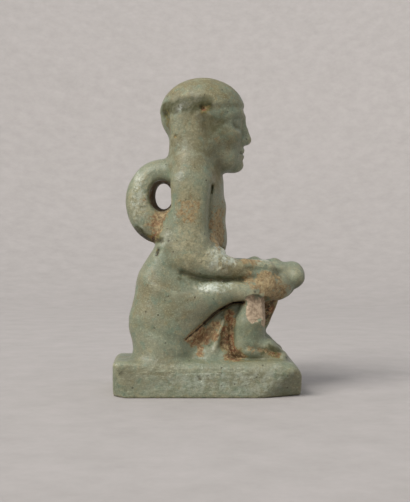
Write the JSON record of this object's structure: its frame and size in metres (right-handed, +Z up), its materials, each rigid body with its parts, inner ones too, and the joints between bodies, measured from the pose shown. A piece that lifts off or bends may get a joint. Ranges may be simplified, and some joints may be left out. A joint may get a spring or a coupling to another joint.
{
  "type": "pataikos amulet",
  "caption": "Small faience amulet of a squatting figure in a skull cap, hands together past the knees, on a low rectangular plinth, with a pierced loop on its back for a cord",
  "frame": {"origin": "middle of the plinth's flat underside", "axes": "+Z up, +X the way the figure faces, +Y to the figure's left"},
  "size_m": [0.0153, 0.0088, 0.0249],
  "materials": {
    "pale_green_faience": "thin worn glaze, pale grey-green with a satin shine, brown soil in the hollows and bare sandy body in the chips"
  },
  "bodies": {
    "root": {"pataikos_amulet": "pale_green_faience"}
  },
  "joints": []
}
